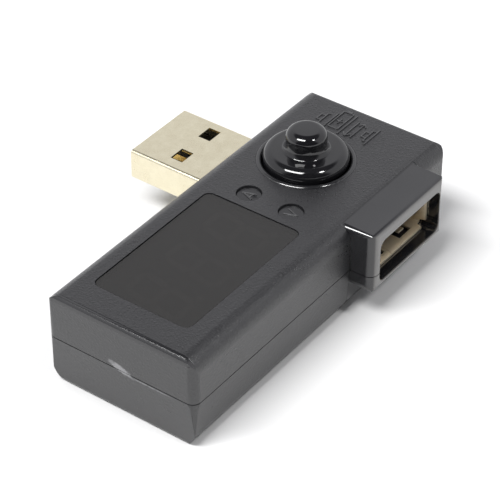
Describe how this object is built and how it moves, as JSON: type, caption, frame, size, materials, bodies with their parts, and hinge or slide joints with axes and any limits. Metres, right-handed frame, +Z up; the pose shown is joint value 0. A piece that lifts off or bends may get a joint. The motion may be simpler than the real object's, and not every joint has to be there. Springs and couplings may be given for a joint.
{
  "type": "usb power meter",
  "caption": "Black inline power meter: A plug on one side, A socket in a boss on the other, digital display and a latching push button that switches between charging and data.",
  "frame": {"origin": "on the surface the meter lies on, below the middle of the whole meter's box", "axes": "+Z up through the display; +Y along the case from the display end to the button end; +X from the plug side to the socket side"},
  "size_m": [0.0392, 0.054, 0.0184],
  "materials": {
    "case_plastic": "moulded black ABS with a fine sparkle grain",
    "cap_plastic": "polished black plastic",
    "display_tint": "smooth smoked film",
    "display_block": "cast epoxy block",
    "display_bars": "unlit diffused segments",
    "lens_smoke": "smoked light guide",
    "led_resin": "clear amber resin",
    "board_laminate": "green solder mask",
    "plug_nickel": "satin nickel plate",
    "socket_nickel": "warm nickel plate",
    "black_insulator": "moulded",
    "contact_gold": "gold flash",
    "tinned_metal": "tin plate",
    "spring_steel": "drawn wire",
    "slider_plastic": "moulded nylon",
    "chip_epoxy": "moulded epoxy",
    "ceramic_tan": "fired ceramic"
  },
  "bodies": {
    "meter": {"top_shell": "case_plastic", "bottom_shell": "case_plastic", "display_body": "display_block", "display_film": "display_tint", "display_segments": "display_bars", "display_pins": "tinned_metal", "ampere_lens": "lens_smoke", "volt_lens": "lens_smoke", "ampere_led": "led_resin", "volt_led": "led_resin", "circuit_board": "board_laminate", "usb_plug_shell": "plug_nickel", "usb_plug_insulator": "black_insulator", "usb_plug_contacts": "contact_gold", "usb_socket_shell": "socket_nickel", "usb_socket_insulator": "black_insulator", "usb_socket_contacts": "contact_gold", "switch_body": "black_insulator", "switch_cover": "tinned_metal", "switch_terminals": "tinned_metal", "switch_spring": "spring_steel", "latch_pin": "spring_steel", "shunt_resistor": "chip_epoxy", "current_amplifier": "chip_epoxy", "voltage_regulator": "chip_epoxy", "microcontroller": "chip_epoxy", "microcontroller_leads": "tinned_metal", "digit_transistors": "chip_epoxy", "chip_resistors": "chip_epoxy", "chip_capacitors": "ceramic_tan"},
    "button": {"button_cap": "cap_plastic", "switch_plunger": "slider_plastic", "sliding_contacts": "contact_gold"}
  },
  "joints": [
    {"name": "button_travel", "type": "slide", "parent": "meter", "child": "button", "axis": [0, 0, 1], "range_m": [-0.0003, 0.0014], "deforming": ["switch_spring"]}
  ]
}
